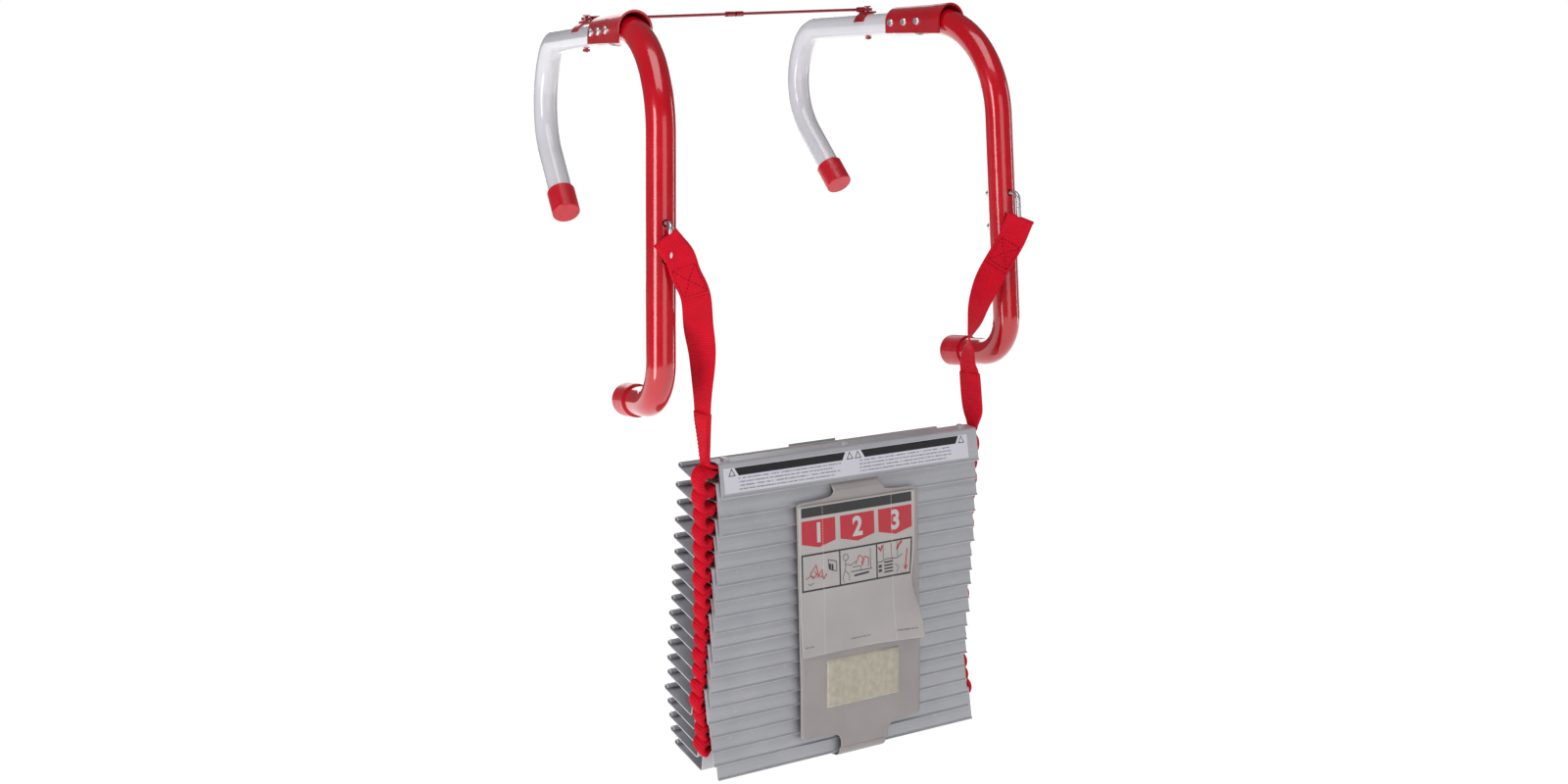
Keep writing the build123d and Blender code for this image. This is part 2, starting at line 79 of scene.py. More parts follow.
rung_names = sorted(name for name in frame["nodes"] if name.startswith("rung_"))


# ---------------------------------------------------------------- materials
class Shader:
    """A Principled material and the few node helpers that its look needs."""

    def __init__(self, name, **sockets):
        self.material = bpy.data.materials.new(name)
        self.material.use_nodes = True
        self.tree = self.material.node_tree
        self.bsdf = self.tree.nodes["Principled BSDF"]
        for socket, value in sockets.items():
            self.bsdf.inputs[socket.replace("_", " ")].default_value = value

    def put(self, value, socket):
        """Links an output to a socket, or sets the socket to a plain value."""
        if isinstance(value, bpy.types.NodeSocket):
            self.tree.links.new(value, socket)
        else:
            socket.default_value = value

    def math(self, operation, *values):
        """One Math node's result."""
        node = self.tree.nodes.new("ShaderNodeMath")
        node.operation = operation
        for value, socket in zip(values, node.inputs):
            self.put(value, socket)
        return node.outputs[0]

    def where(self):
        """Object coordinates, which for a CAD node are the frame's own."""
        return self.tree.nodes.new("ShaderNodeTexCoord").outputs["Object"]

    def cloth(self):
        """The sheet's own coordinates: metres across it, metres along it."""
        node = self.tree.nodes.new("ShaderNodeAttribute")
        node.attribute_name = "cloth"
        return node.outputs["Vector"]

    def parts(self, vector):
        """The three numbers of a vector."""
        node = self.tree.nodes.new("ShaderNodeSeparateXYZ")
        self.put(vector, node.inputs[0])
        return node.outputs

    def stretch(self, vector, scale):
        """A vector with each of its numbers scaled."""
        node = self.tree.nodes.new("ShaderNodeVectorMath")
        node.operation = "MULTIPLY"
        self.put(vector, node.inputs[0])
        node.inputs[1].default_value = scale
        return node.outputs[0]

    def noise(self, vector, scale, detail=2.0):
        """Smooth noise from 0 to 1."""
        node = self.tree.nodes.new("ShaderNodeTexNoise")
        self.put(vector, node.inputs["Vector"])
        node.inputs["Scale"].default_value = scale
        node.inputs["Detail"].default_value = detail
        return node.outputs["Fac"]

    def spread(self, value, low, high, new_low, new_high):
        """Maps a number from one range to another and clamps it."""
        node = self.tree.nodes.new("ShaderNodeMapRange")
        for number, socket in zip((value, low, high, new_low, new_high), node.inputs):
            self.put(number, socket)
        return node.outputs[0]

    def mix(self, factor, first, second):
        """A colour between two others."""
        node = self.tree.nodes.new("ShaderNodeMix")
        node.data_type = "RGBA"
        self.put(factor, node.inputs[0])
        for colour, socket in ((first, node.inputs[6]), (second, node.inputs[7])):
            self.put(colour if isinstance(colour, bpy.types.NodeSocket) else (*colour, 1), socket)
        return node.outputs[2]

    def within(self, value, low, high):
        """1 where a number lies between two others, else 0."""
        over = self.math("GREATER_THAN", value, low)
        return self.math("MULTIPLY", over, self.math("LESS_THAN", value, high))

    def box(self, x, z, x_range, z_range):
        """1 inside a rectangle, else 0."""
        return self.math("MULTIPLY", self.within(x, *x_range), self.within(z, *z_range))

    def either(self, *masks):
        """1 where any mask is."""
        joined = masks[0]
        for mask in masks[1:]:
            joined = self.math("MAXIMUM", joined, mask)
        return joined

    def colour(self, value):
        """Sets the base colour from an output."""
        self.put(value, self.bsdf.inputs["Base Color"])

    def rough(self, value):
        """Sets the roughness from an output."""
        self.put(value, self.bsdf.inputs["Roughness"])

    def bump(self, height, distance, strength=1.0):
        """Raises the surface by a height from 0 to 1 of the given distance."""
        node = self.tree.nodes.new("ShaderNodeBump")
        node.inputs["Strength"].default_value = strength
        node.inputs["Distance"].default_value = distance
        self.put(height, node.inputs["Height"])
        self.put(node.outputs[0], self.bsdf.inputs["Normal"])


def paint(name, colour, deep, rough=(0.16, 0.26), coat=1.0):
    """Glossy paint on tube: faint orange peel, a little unevenness and a few rubbed marks."""
    s = Shader(name, Coat_Weight=coat, Coat_Roughness=0.04)
    where = s.where()
    uneven = s.noise(where, 14, 3)
    rubbed = s.spread(s.noise(s.stretch(where, (1, 1, 0.35)), 420, 4), 0.66, 0.74, 0, 0.35)
    base = s.mix(s.spread(uneven, 0.35, 0.7, 0, 1), colour, deep)
    s.colour(s.mix(rubbed, base, [min(1, c * 1.35 + 0.02) for c in colour]))
    s.rough(s.spread(s.noise(where, 60, 2), 0.3, 0.7, *rough))
    s.bump(s.noise(where, 900, 1), 0.05 * mm, 0.5)
    return s.material


def plastic(name, colour, deep):
    """Satin vinyl of the push-on caps, with a fine moulded grain."""
    s = Shader(name, Coat_Weight=0.25, Coat_Roughness=0.2)
    where = s.where()
    s.colour(s.mix(s.spread(s.noise(where, 90, 3), 0.35, 0.7, 0, 1), colour, deep))
    s.rough(s.spread(s.noise(where, 220, 2), 0.3, 0.7, 0.3, 0.48))
    s.bump(s.noise(where, 1400, 2), 0.08 * mm, 0.5)
    return s.material


def metal(name, colour, deep):
    """Plated or bare metal with cloudy wear and fine marks."""
    s = Shader(name, Metallic=1.0)
    where = s.where()
    s.colour(s.mix(s.spread(s.noise(where, 260, 4), 0.35, 0.68, 0, 1), colour, deep))
    s.rough(s.spread(s.noise(where, 500, 2), 0.3, 0.7, 0.22, 0.4))
    s.bump(s.noise(where, 1500, 2), 0.04 * mm, 0.6)
    return s.material


def rung_paint():
    """Satin grey rung sheet: rolling lines along the rung, soft clouding and small rubs."""
    s = Shader("rung_steel", Metallic=0.45, Coat_Weight=0.15, Coat_Roughness=0.25)
    where = s.where()
    lines = s.noise(s.stretch(where, (4, 900, 900)), 1.0, 3)
    clouds = s.noise(s.stretch(where, (1, 1.5, 1.5)), 22, 3)
    rubs = s.spread(s.noise(s.stretch(where, (0.3, 1, 1)), 520, 4), 0.65, 0.72, 0, 0.6)
    grey = s.mix(s.spread(clouds, 0.35, 0.65, 0, 1), (0.5, 0.505, 0.545), (0.56, 0.56, 0.59))
    lined = s.mix(s.spread(lines, 0.3, 0.7, 0, 0.3), grey, (0.64, 0.645, 0.68))
    s.colour(s.mix(rubs, lined, (0.74, 0.74, 0.75)))
    s.rough(s.spread(lines, 0.3, 0.7, 0.34, 0.5))
    s.bump(lines, 0.03 * mm, 0.5)
    return s.material


def webbing_cloth(name, colour, deep, rib=1.55 * mm, yarn=1.1 * mm):
    """Woven polyester webbing: ribs across the strap, each crossed by offset yarns, with painted shade
    darkening the grooves between them.
    """
    s = Shader(name, Roughness=0.62, Sheen_Weight=0.02, Specular_IOR_Level=0.12)
    across, along, _ = s.parts(s.cloth())
    turn = s.math("MULTIPLY", along, 2 * pi / rib)
    ribs = s.math("ABSOLUTE", s.math("SINE", s.math("MULTIPLY", turn, 0.5)))
    odd = s.math("MULTIPLY", s.math("FLOOR", s.math("DIVIDE", along, rib)), pi)
    yarns = s.math("SINE", s.math("ADD", s.math("MULTIPLY", across, 2 * pi / yarn), odd))
    woven = s.math("MULTIPLY", ribs, s.spread(yarns, -1, 1, 0.55, 1))
    uneven = s.noise(s.where(), 70, 3)
    # painted shade: where the weave's bump is low, in the grooves between ribs and yarns, the colour falls
    # towards the deep colour
    painted_groove_shade = s.math("MULTIPLY", s.spread(woven, 0.05, 0.6, 1, 0), 0.75)
    worn = s.mix(s.spread(uneven, 0.3, 0.7, 0, 0.5), colour, [c * 0.72 for c in colour])
    s.colour(s.mix(painted_groove_shade, worn, deep))
    s.bump(woven, 0.32 * mm, 0.9)
    return s.material


def plain_weave(name, colour, deep, yarn=0.55 * mm, sheen=0.2):
    """Fine coated cloth in plain weave."""
    s = Shader(name, Roughness=0.7, Sheen_Weight=sheen, Sheen_Roughness=0.5)
    across, along, _ = s.parts(s.cloth())
    one = s.math("SINE", s.math("MULTIPLY", across, 2 * pi / yarn))
    two = s.math("SINE", s.math("MULTIPLY", along, 2 * pi / yarn))
    woven = s.spread(s.math("MULTIPLY", one, two), -1, 1, 0, 1)
    clouds = s.spread(s.noise(s.where(), 30, 3), 0.3, 0.7, 0, 1)
    s.colour(s.mix(s.math("MULTIPLY", s.math("ADD", woven, clouds), 0.5), colour, deep))
    s.bump(woven, 0.09 * mm, 0.7)
    return s.material


def pile(name, colour, deep):
    """The looped pile of a touch fastener."""
    s = Shader(name, Roughness=0.95, Sheen_Weight=0.15, Sheen_Roughness=0.6)
    loops = s.noise(s.where(), 1300, 3)
    lay = s.noise(s.where(), 160, 2)
    s.colour(s.mix(s.spread(s.math("ADD", loops, lay), 0.7, 1.3, 0, 1), deep, colour))
    s.bump(loops, 0.5 * mm, 0.9)
    return s.material


def printed_label():
    """The top rung's label: two black heads between outlined triangles, and rows of grey dashes."""
    low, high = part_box("top_rung_label")
    s = Shader("label", Coat_Weight=0.4, Coat_Roughness=0.25)
    where = s.where()
    x, _, z = s.parts(where)
    down = s.math("SUBTRACT", high.z, z)
    middle = (low.x + high.x) / 2
    ink = []
    head_top, head_bottom = 0.5 * mm, 7.4 * mm
    for start, end in ((low.x + 12 * mm, low.x + 142 * mm), (low.x + 160 * mm, high.x - 11 * mm)):
        off = s.math("ABSOLUTE", s.math("SUBTRACT", x, (start + end) / 2))
        slanted = s.math("ADD", off, s.math("MULTIPLY", down, 0.62))
        ink.append(s.box(slanted, down, (-1, (end - start) / 2), (head_top, head_bottom)))
    for peak in (low.x + 9 * mm, low.x + 146.5 * mm, low.x + 156.5 * mm, high.x - 8 * mm):
        off = s.math("ABSOLUTE", s.math("SUBTRACT", x, peak))
        wide = s.math("MULTIPLY", s.math("SUBTRACT", down, head_top), 0.6)
        outside = s.math("LESS_THAN", off, wide)
        hollow = s.math("LESS_THAN", off, s.math("SUBTRACT", wide, 0.9 * mm))
        hollow = s.math("MULTIPLY", hollow, s.math("LESS_THAN", down, head_bottom - 0.7 * mm))
        drawn = s.math("MULTIPLY", outside, s.math("SUBTRACT", 1, hollow))
        ink.append(s.math("MULTIPLY", drawn, s.math("LESS_THAN", down, head_bottom)))
    words = s.noise(s.stretch(where, (520, 0, 160)), 1.0, 1)
    inked = s.math("GREATER_THAN", words, 0.46)
    rows = []
    for row in range(4):
        top = (9.2 + 3.1 * row) * mm
        for start, end in (
            (low.x + 16 * mm, middle - 12 * mm - 9 * mm * (row % 2)),
            (middle + 10 * mm, high.x - 22 * mm - 7 * mm * (row == 3)),
        ):
            rows.append(s.box(x, down, (start, end), (top, top + 1.15 * mm)))
    dashes = s.math("MULTIPLY", s.either(*rows), s.spread(inked, 0, 1, 0.15, 0.75))
    film = s.mix(s.noise(where, 40, 2), (0.66, 0.645, 0.72), (0.74, 0.72, 0.79))
    s.colour(s.mix(s.either(*ink), s.mix(dashes, film, (0.16, 0.16, 0.2)), (0.012, 0.012, 0.014)))
    s.rough(s.spread(s.noise(where, 300, 2), 0.3, 0.7, 0.3, 0.42))
    s.bump(s.noise(where, 260, 2), 0.05 * mm, 0.4)
    return s.material


flap_size = (141 * mm, 137 * mm)
badges = [(3 * mm, 42.7 * mm), (48.5 * mm, 89.9 * mm), (94.9 * mm, 137 * mm)]
badge_top, badge_side, badge_tip = 13.4 * mm, 34.1 * mm, 38.6 * mm
picture_edges = (3 * mm, 47 * mm, 92 * mm, 136.5 * mm)
picture_top, picture_bottom = 43.5 * mm, 77.5 * mm


def printed_flap():
    """The flap's print: a black head, three red pennants, three frames and two perforated lines."""
    s = Shader("flap", Coat_Weight=0.25, Coat_Roughness=0.3)
    cloth = s.cloth()
    x, down, side = s.parts(cloth)
    head = s.box(x, down, (3 * mm, 137 * mm), (1.6 * mm, 10.4 * mm))
    pennants = []
    for start, end in badges:
        off = s.math("ABSOLUTE", s.math("SUBTRACT", x, (start + end) / 2))
        slope = (badge_tip - badge_side) / ((end - start) / 2)
        edge = s.math("SUBTRACT", badge_tip, s.math("MULTIPLY", off, slope))
        body = s.box(x, down, (start, end), (badge_top, badge_tip))
        pennants.append(s.math("MULTIPLY", body, s.math("LESS_THAN", down, edge)))
    line = 1.7 * mm
    frames = [
        s.box(x, down, (picture_edges[0], picture_edges[-1]), (top, top + line))
        for top in (picture_top, picture_bottom - line)
    ]
    for edge in picture_edges:
        frames.append(s.box(x, down, (edge - line / 2, edge + line / 2), (picture_top, picture_bottom)))
    dots = s.math("GREATER_THAN", s.math("SINE", s.math("MULTIPLY", down, 2 * pi / (2.4 * mm))), -0.2)
    perforated = s.either(
        *[s.within(x, spot - 0.3 * mm, spot + 0.3 * mm) for spot in (27.8 * mm, 111.5 * mm)]
    )
    perforated = s.math("MULTIPLY", perforated, dots)
    notes = s.either(
        s.box(x, down, (3.5 * mm, 14 * mm), (127 * mm, 128.4 * mm)),
        s.box(x, down, (59 * mm, 84 * mm), (127 * mm, 128.4 * mm)),
        s.box(x, down, (112 * mm, 134 * mm), (127 * mm, 128.4 * mm)),
    )
    words = s.math("GREATER_THAN", s.noise(s.stretch(cloth, (700, 0, 0)), 1.0, 1), 0.45)
    clouds = s.noise(s.where(), 28, 2)
    film = s.mix(s.spread(clouds, 0.3, 0.7, 0, 1), (0.4, 0.37, 0.365), (0.44, 0.41, 0.4))
    head_half = s.spread(down, 0, 95 * mm, 0.35, 0)
    film = s.mix(head_half, film, (0.62, 0.6, 0.58))
    film = s.mix(s.math("MULTIPLY", s.math("MULTIPLY", notes, words), 0.7), film, (0.1, 0.1, 0.1))
    film = s.mix(s.either(*pennants), film, (0.5, 0.006, 0.022))
    film = s.mix(s.either(head, *frames), film, (0.014, 0.013, 0.015))
    film = s.mix(s.math("MULTIPLY", perforated, 0.7), film, (0.7, 0.69, 0.67))
    s.colour(s.mix(side, film, (0.6, 0.59, 0.57)))
    s.rough(s.spread(s.noise(s.where(), 240, 2), 0.3, 0.7, 0.34, 0.5))
    s.bump(s.noise(s.where(), 90, 3), 0.35 * mm, 0.35)
    return s.material


def ink(name, colour):
    """Printing ink, laid on a little unevenly."""
    s = Shader(name, Coat_Weight=0.2, Coat_Roughness=0.3)
    lay = s.noise(s.where(), 900, 2)
    s.colour(s.mix(s.spread(lay, 0.3, 0.7, 0, 0.25), colour, [c * 0.8 + 0.03 for c in colour]))
    s.rough(s.spread(lay, 0.3, 0.7, 0.35, 0.5))
    return s.material


def rope_coat(name, colour, deep):
    """Plastic-coated wire rope and its clips: the strands show through the coat."""
    s = Shader(name, Coat_Weight=0.5, Coat_Roughness=0.15)
    where = s.where()
    s.colour(s.mix(s.spread(s.noise(where, 300, 3), 0.35, 0.68, 0, 1), colour, deep))
    s.rough(s.spread(s.noise(where, 600, 2), 0.3, 0.7, 0.25, 0.45))
    s.bump(s.noise(where, 1200, 2), 0.06 * mm, 0.6)
    return s.material


red = (0.55, 0.002, 0.012)
looks = {
    "red_tube": paint("red_tube", red, (0.47, 0.001, 0.009)),
    "white_tube": paint("white_tube", (0.7, 0.69, 0.73), (0.64, 0.63, 0.68)),
    "red_cap": plastic("red_cap", (0.6, 0.006, 0.02), (0.5, 0.003, 0.014)),
    "red_sleeve": paint("red_sleeve", (0.5, 0.004, 0.014), (0.42, 0.002, 0.01), (0.28, 0.4), 0.5),
    "bright_rivets": metal("bright_rivets", (0.86, 0.86, 0.87), (0.62, 0.62, 0.63)),
    "zinc_hardware": metal("zinc_hardware", (0.72, 0.73, 0.74), (0.5, 0.5, 0.52)),
    "clip": rope_coat("clip", (0.42, 0.002, 0.01), (0.3, 0.001, 0.007)),
    "cable": rope_coat("cable", (0.3, 0.002, 0.01), (0.2, 0.001, 0.006)),
    "rung_steel": rung_paint(),
    "label": printed_label(),
    # the webbing's deep colour is the painted shade in its weave's grooves
    "red_webbing": webbing_cloth("red_webbing", (0.72, 0.003, 0.022), (0.36, 0.001, 0.008)),
    "band_fabric": plain_weave("band_fabric", (0.4, 0.365, 0.36), (0.34, 0.31, 0.305), sheen=0.05),
    "patch": pile("patch", (0.56, 0.52, 0.42), (0.4, 0.365, 0.28)),
    "flap": printed_flap(),
}
# the thread's deep colour is the painted shade in its weave's grooves
thread = webbing_cloth("thread", (0.4, 0.002, 0.01), (0.26, 0.001, 0.006), 0.8 * mm, 0.5 * mm)
grey_thread = plain_weave("grey_thread", (0.6, 0.57, 0.5), (0.45, 0.42, 0.36), 0.3 * mm)
slot_of = {row["node"]: row["material_slot"] for row in frame["record"]["subparts"]}
for node, thing in frame["nodes"].items():
    thing.data.materials.clear()
    thing.data.materials.append(looks[slot_of[node]])


# ---------------------------------------------------------------- meshes
def add_mesh(name, points, faces, material, cloth=None):
    """A new mesh object from points and faces, with the sheet's coordinates where it has them."""
    mesh = bpy.data.meshes.new(name)
    mesh.from_pydata([tuple(map(float, p)) for p in points], [], faces)
    mesh.update()
    if cloth is not None:
        layer = mesh.attributes.new("cloth", "FLOAT_VECTOR", "POINT")
        layer.data.foreach_set("vector", np.asarray(cloth, np.float32).ravel())
    mesh.polygons.foreach_set("use_smooth", [True] * len(mesh.polygons))
    mesh.materials.append(material)
    thing = bpy.data.objects.new(name, mesh)
    bpy.context.scene.collection.objects.link(thing)
    return thing


def tube_faces(rows, around, first=0):
    """Faces of a closed tube made of rings of points, with its two ends closed."""
    faces = []
    for row in range(rows - 1):
        for step in range(around):
            a = first + row * around + step
            b = first + row * around + (step + 1) % around
            faces.append((a, b, b + around, a + around))
    faces.append(tuple(first + step for step in reversed(range(around))))
    faces.append(tuple(first + (rows - 1) * around + step for step in range(around)))
    return faces


def smooth_rows(rows, step):
    """Points on a smooth curve through rows of numbers, about a step apart in their first three."""
    rows = np.asarray(rows, float)
    padded = np.vstack([2 * rows[0] - rows[1], rows, 2 * rows[-1] - rows[-2]])
    made = []
    for i in range(len(rows) - 1):
        p0, p1, p2, p3 = padded[i : i + 4]
        count = max(2, int(np.linalg.norm(p2[:3] - p1[:3]) / step))
        for t in np.arange(count) / count:
            made.append(
                0.5
                * (
                    2 * p1
                    + (p2 - p0) * t
                    + (2 * p0 - 5 * p1 + 4 * p2 - p3) * t**2
                    + (3 * p1 - p0 - 3 * p2 + p3) * t**3
                )
            )
    made.append(rows[-1])
    return np.array(made)


def unit(vectors):
    """Vectors made one long."""
    vectors = np.asarray(vectors, float)
    return vectors / np.linalg.norm(vectors, axis=-1, keepdims=True)


def ribbon_frame(rows):
    """For rows of centre and width direction: the run so far, the width direction, the face normal."""
    centre, wide = rows[:, :3], rows[:, 3:6]
    ahead = unit(np.gradient(centre, axis=0))
    wide = unit(wide - ahead * np.sum(wide * ahead, axis=1, keepdims=True))
    run = np.concatenate([[0], np.cumsum(np.linalg.norm(np.diff(centre, axis=0), axis=1))])
    return run, wide, np.cross(ahead, wide)


def ribbon_section(width, thick, steps=8):
    """Points round a flat strap's section: across it, and up from its middle."""
    flat = np.linspace(-1, 1, steps) * (width / 2 - thick / 2)
    points = [(a, thick / 2) for a in flat]
    points += [
        (width / 2 - thick / 2 + thick / 2 * cos(t), thick / 2 * sin(t)) for t in (pi / 4, 0, -pi / 4)
    ]
    points += [(a, -thick / 2) for a in flat[::-1]]
    points += [
        (-width / 2 + thick / 2 - thick / 2 * cos(t), -thick / 2 * sin(t)) for t in (pi / 4, 0, -pi / 4)
    ]
    return points


def ribbon(name, rows, thick, material, crown=0.0):
    """A strap along rows of centre, width direction and width, crowned along its middle."""
    run, wide, normal = ribbon_frame(rows)
    points, cloth = [], []
    for i, row in enumerate(rows):
        width = row[6]
        for a, t in ribbon_section(width, thick):
            bow = crown * (1 - (2 * a / width) ** 2)
            points.append(row[:3] + wide[i] * a + normal[i] * (t + bow))
            cloth.append((a, run[i], 0))
    around = len(ribbon_section(1, 0.1))
    return add_mesh(name, points, tube_faces(len(rows), around), material, cloth)


def stitches(name, line, normals, material, length=2.6 * mm, gap=0.9 * mm, radius=0.35 * mm):
    """A row of stitches along a line of points, each a short rounded bead lying on the cloth."""
    line, normals = np.asarray(line, float), np.asarray(normals, float)
    run = np.concatenate([[0], np.cumsum(np.linalg.norm(np.diff(line, axis=0), axis=1))])
    points, faces = [], []
    start = gap / 2
    while start + length <= run[-1]:
        spots = np.linspace(start, start + length, 5)
        centre = np.array([[np.interp(s, run, line[:, k]) for k in range(3)] for s in spots])
        up = unit(np.array([[np.interp(s, run, normals[:, k]) for k in range(3)] for s in spots]))
        side = unit(np.cross(np.gradient(centre, axis=0), up))
        first = len(points)
        for i, fat in enumerate((0.25, 0.8, 1.0, 0.8, 0.25)):
            for turn in np.arange(6) * pi / 3:
                points.append(
                    centre[i] + radius * fat * (side[i] * cos(turn) + up[i] * 0.8 * sin(turn))
                )
        faces += tube_faces(5, 6, first)
        start += length + gap
    return add_mesh(name, points, faces, material, [(p[0], p[2], 0) for p in points])


# ---------------------------------------------------------------- webbing between the rungs
webbing_half = 1.4 * mm  # half its folded thickness
slack_drop = 2.8 * mm
slack_step = 4.4 * mm
anchor_inset = 18 * mm
rung_middle = -8 * mm
webbing_count = len(rung_names) - 1
body_of_rung = {1: "hooks"}
for number in range(2, len(rung_names) + 1):
    body_of_rung[number] = f"rung_{number:02d}_body"


def interval(number):
    """Where a rung and the next hold the webbing: levels, front, back, rungs' ends, bights' bows."""
    low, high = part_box(f"webbing_{number:02d}")
    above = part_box(f"rung_{number:02d}")
    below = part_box(f"rung_{number + 1:02d}")
    ends = {"left": (above[0].x, below[0].x), "right": (above[1].x, below[1].x)}
    bows = {"left": low.x + webbing_half, "right": high.x - webbing_half}
    first, last = high.z - webbing_half, low.z + webbing_half
    return first + slack_drop, last + slack_drop, low.y, high.y, ends, bows


def webbing_bight(number, side):
    """The bight of folded webbing that stands out past two rungs' ends, ribbed like a strand of rope."""
    upper, lower, front, back, ends, bows = interval(number)
    out = sides[side]
    upper_end, lower_end = ends[side]
    first, last = upper - slack_drop - slack_step, lower - slack_drop
    radius = (first - last) / 2
    middle = (first + last) / 2
    bow = bows[side] + out * 0.8 * mm * sin(2.3 * number + 2 * out) * (side == "left")
    path = [(upper_end - out * d * mm, first) for d in (13, 10, 7)]
    turns = np.linspace(pi / 2, -pi / 2, 17)
    path += [(bow - out * (radius - radius * cos(t)), middle + radius * sin(t)) for t in turns]
    path += [(lower_end - out * d * mm, last) for d in (7, 10, 14, 18)]
    swell_from = max(out * upper_end, out * lower_end) - 2.5 * mm
    swell_over = min(5 * mm, out * bow - swell_from)
    path = smooth_rows([(x, 0, z) for x, z in path], 0.8 * mm)
    width, y_middle = back - front, (front + back) / 2
    ahead = unit(np.gradient(path, axis=0))
    face = np.cross(ahead, (0, 1, 0)) * -out
    run = np.concatenate([[0], np.cumsum(np.linalg.norm(np.diff(path, axis=0), axis=1))])
    around = 28
    points, cloth = [], []
    for i, (x, _, z) in enumerate(path):
        past = np.clip((out * x - swell_from) / swell_over, 0, 1)
        puff = past * past * (3 - 2 * past)
        for step in range(around):
            turn = 2 * pi * step / around
            a, t = cos(turn), sin(turn)
            across = np.sign(a) * abs(a) ** 0.7 * (width / 2 + 0.5 * mm * puff)
            outer = webbing_half + 0.5 * mm * puff
            inner = webbing_half + (radius * 0.94 - webbing_half) * puff
            high = np.sign(t) * abs(t) ** 0.8 * (outer if t > 0 else inner)
            slant = 0.5 * across * puff
            ridge = 0.5 * mm * puff * sin(2 * pi * run[i] / (3.0 * mm) + 0.6 * sin(9 * across / width))
            spot = np.array([x, y_middle + across, z + slant]) + face[i] * (high + ridge * (t > 0.1))
            points.append(spot)
            cloth.append((across, run[i], 0))
    name = f"webbing_bight_{side}_{number:02d}"
    bight = add_mesh(name, points, tube_faces(len(path), around), looks["red_webbing"], cloth)
    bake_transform(bight)


def webbing_slack(number, side):
    """The spare webbing of one interval, folded in half along its length and laid along inside the rung."""
    upper, _, front, back, ends, _ = interval(number)
    out = sides[side]
    end = ends[side][0]
    reach = abs(rung_middle - end) - 6 * mm
    first, second = upper - slack_drop, upper - slack_drop - slack_step
    bend = slack_step / 2
    path = [(end - out * anchor_inset, first), (end - out * reach / 2, first - 0.2 * mm)]
    path += [
        (end - out * (reach - bend + bend * cos(t)), (first + second) / 2 + bend * sin(t))
        for t in np.linspace(pi / 2, -pi / 2, 9)
    ]
    path += [(end - out * reach / 2, second + 0.2 * mm), (end - out * 7 * mm, second)]
    rows = [(x, (front + back) / 2, z, 0, 1, 0, back - front) for x, z in path]
    name = f"webbing_slack_{side}_{number:02d}"
    slack = ribbon(name, smooth_rows(rows, 6 * mm), 2 * webbing_half, looks["red_webbing"])
    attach(slack, body_of_rung[number])
    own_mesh(slack)
    return slack


for number in range(1, webbing_count + 1):
    for side in sides:
        webbing_bight(number, side)
        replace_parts(webbing_slack(number, side), f"webbing_{number:02d}")


# ---------------------------------------------------------------- straps from the hooks to the top rung
# Each row: where the strap's middle is from its U-bolt's bow, to the side, up and back as seen from
# the front left, then the heading of its width about +Z, the rise of its width, and its width.
strap_ply = 1.5 * mm
strap_wide = 25.4
folded_wide = 12.6
wire_radius = 2.3 * mm
wire_middles = {"left": (-221.8, -190.0, -162.9), "right": (201.0, -181.0, -155.4)}
sideways, backward = np.array((0.755, -0.656, 0)), np.array((0.656, 0.755, 0))
routes = {
    "left": (
        ((-1.5, -0.5, 0), -41, 84, 24),
        ((3.0, -6.5, 0.5), -41, 62, 25),
        ((7.7, -13.4, 1.6), -41, 40, strap_wide),
        ((12.6, -28.1, 4.0), -41, 30, strap_wide),
        ((20.0, -46.1, 8.5), -41, 22, strap_wide),
        ((21.8, -73.1, 23.0), -43, 8, strap_wide),
        ((24.3, -99.1, 35.8), -66, 4, strap_wide),
        ((24.1, -132.1, 42.1), -88, 0, 24),
        ((24.3, -155.1, 44.9), -90, 0, 20),
        ((25.3, -175.1, 48.4), -90, 0, 15),
        ((25.7, -189.1, 51.7), -90, 0, folded_wide),
        ((26.1, -195.1, 52.0), -90, 0, folded_wide),
    ),
    "right": (
        ((1.6, -9.6, 0), -41, -40, 26),
        ((-6.0, -28.7, 2), -41, -33, 26),
        ((-16.2, -45.4, -4), -41, -31, 26),
        ((-27.4, -63.9, -11), -38, -28, 26),
        ((-36.6, -84.3, -18), -10, -18, strap_wide),
        ((-41.7, -102.8, -22), 13, -8, strap_wide),
        ((-46.4, -117.6, -24), 39, 0, strap_wide),
        ((-47.2, -128.7, -25), 66, 0, strap_wide),
        ((-47.7, -141.7, -25), 78, 0, strap_wide),
        ((-46.0, -151.0, -24), 87, 0, strap_wide),
        ((-44.0, -173.0, -22), 90, 0, strap_wide),
        ((-42.4, -188.0, -20), 90, 0, 24),
        ((-42.2, -197.0, -19.4), 90, 0, 17),
        ((-42.4, -202.0, -19.4), 90, 0, 13),
    ),
}
bow_offsets = {"left": 5.0 * mm, "right": 2.0 * mm}
ply_reach = strap_ply * 0.52  # strap's middle to each ply's, where the two lie together
wire_reach = wire_radius + strap_ply * 0.6  # and where they pass the U-bolt's wire
wire_lead = 18 * mm
lap_length = 52 * mm
fold_start = {"left": -311 * mm, "right": -306 * mm}


def strap_rows(side):
    """Centre, width direction and width all along one strap, in metres."""
    middle = np.array(wire_middles[side])
    rows = []
    for (aside, above, behind), heading, rise, wide in routes[side]:
        centre = middle + sideways * aside + backward * behind + np.array((0, 0, above))
        flat = cos(radians(rise))
        way = (flat * cos(radians(heading)), flat * sin(radians(heading)), sin(radians(rise)))
        rows.append((*centre * mm, *way, wide * mm))
    return smooth_rows(rows, 2 * mm)


def on_cloth(rows, a, s, lift):
    """A point on a strap, and its normal there: a across it, s along it, lifted off its middle."""
    run, wide, normal = ribbon_frame(rows)

    def pick(values):
        return np.array([np.interp(s, run, values[:, k]) for k in range(3)])

    up = unit(pick(normal))
    return pick(rows[:, :3]) + unit(pick(wide)) * a + up * lift, up


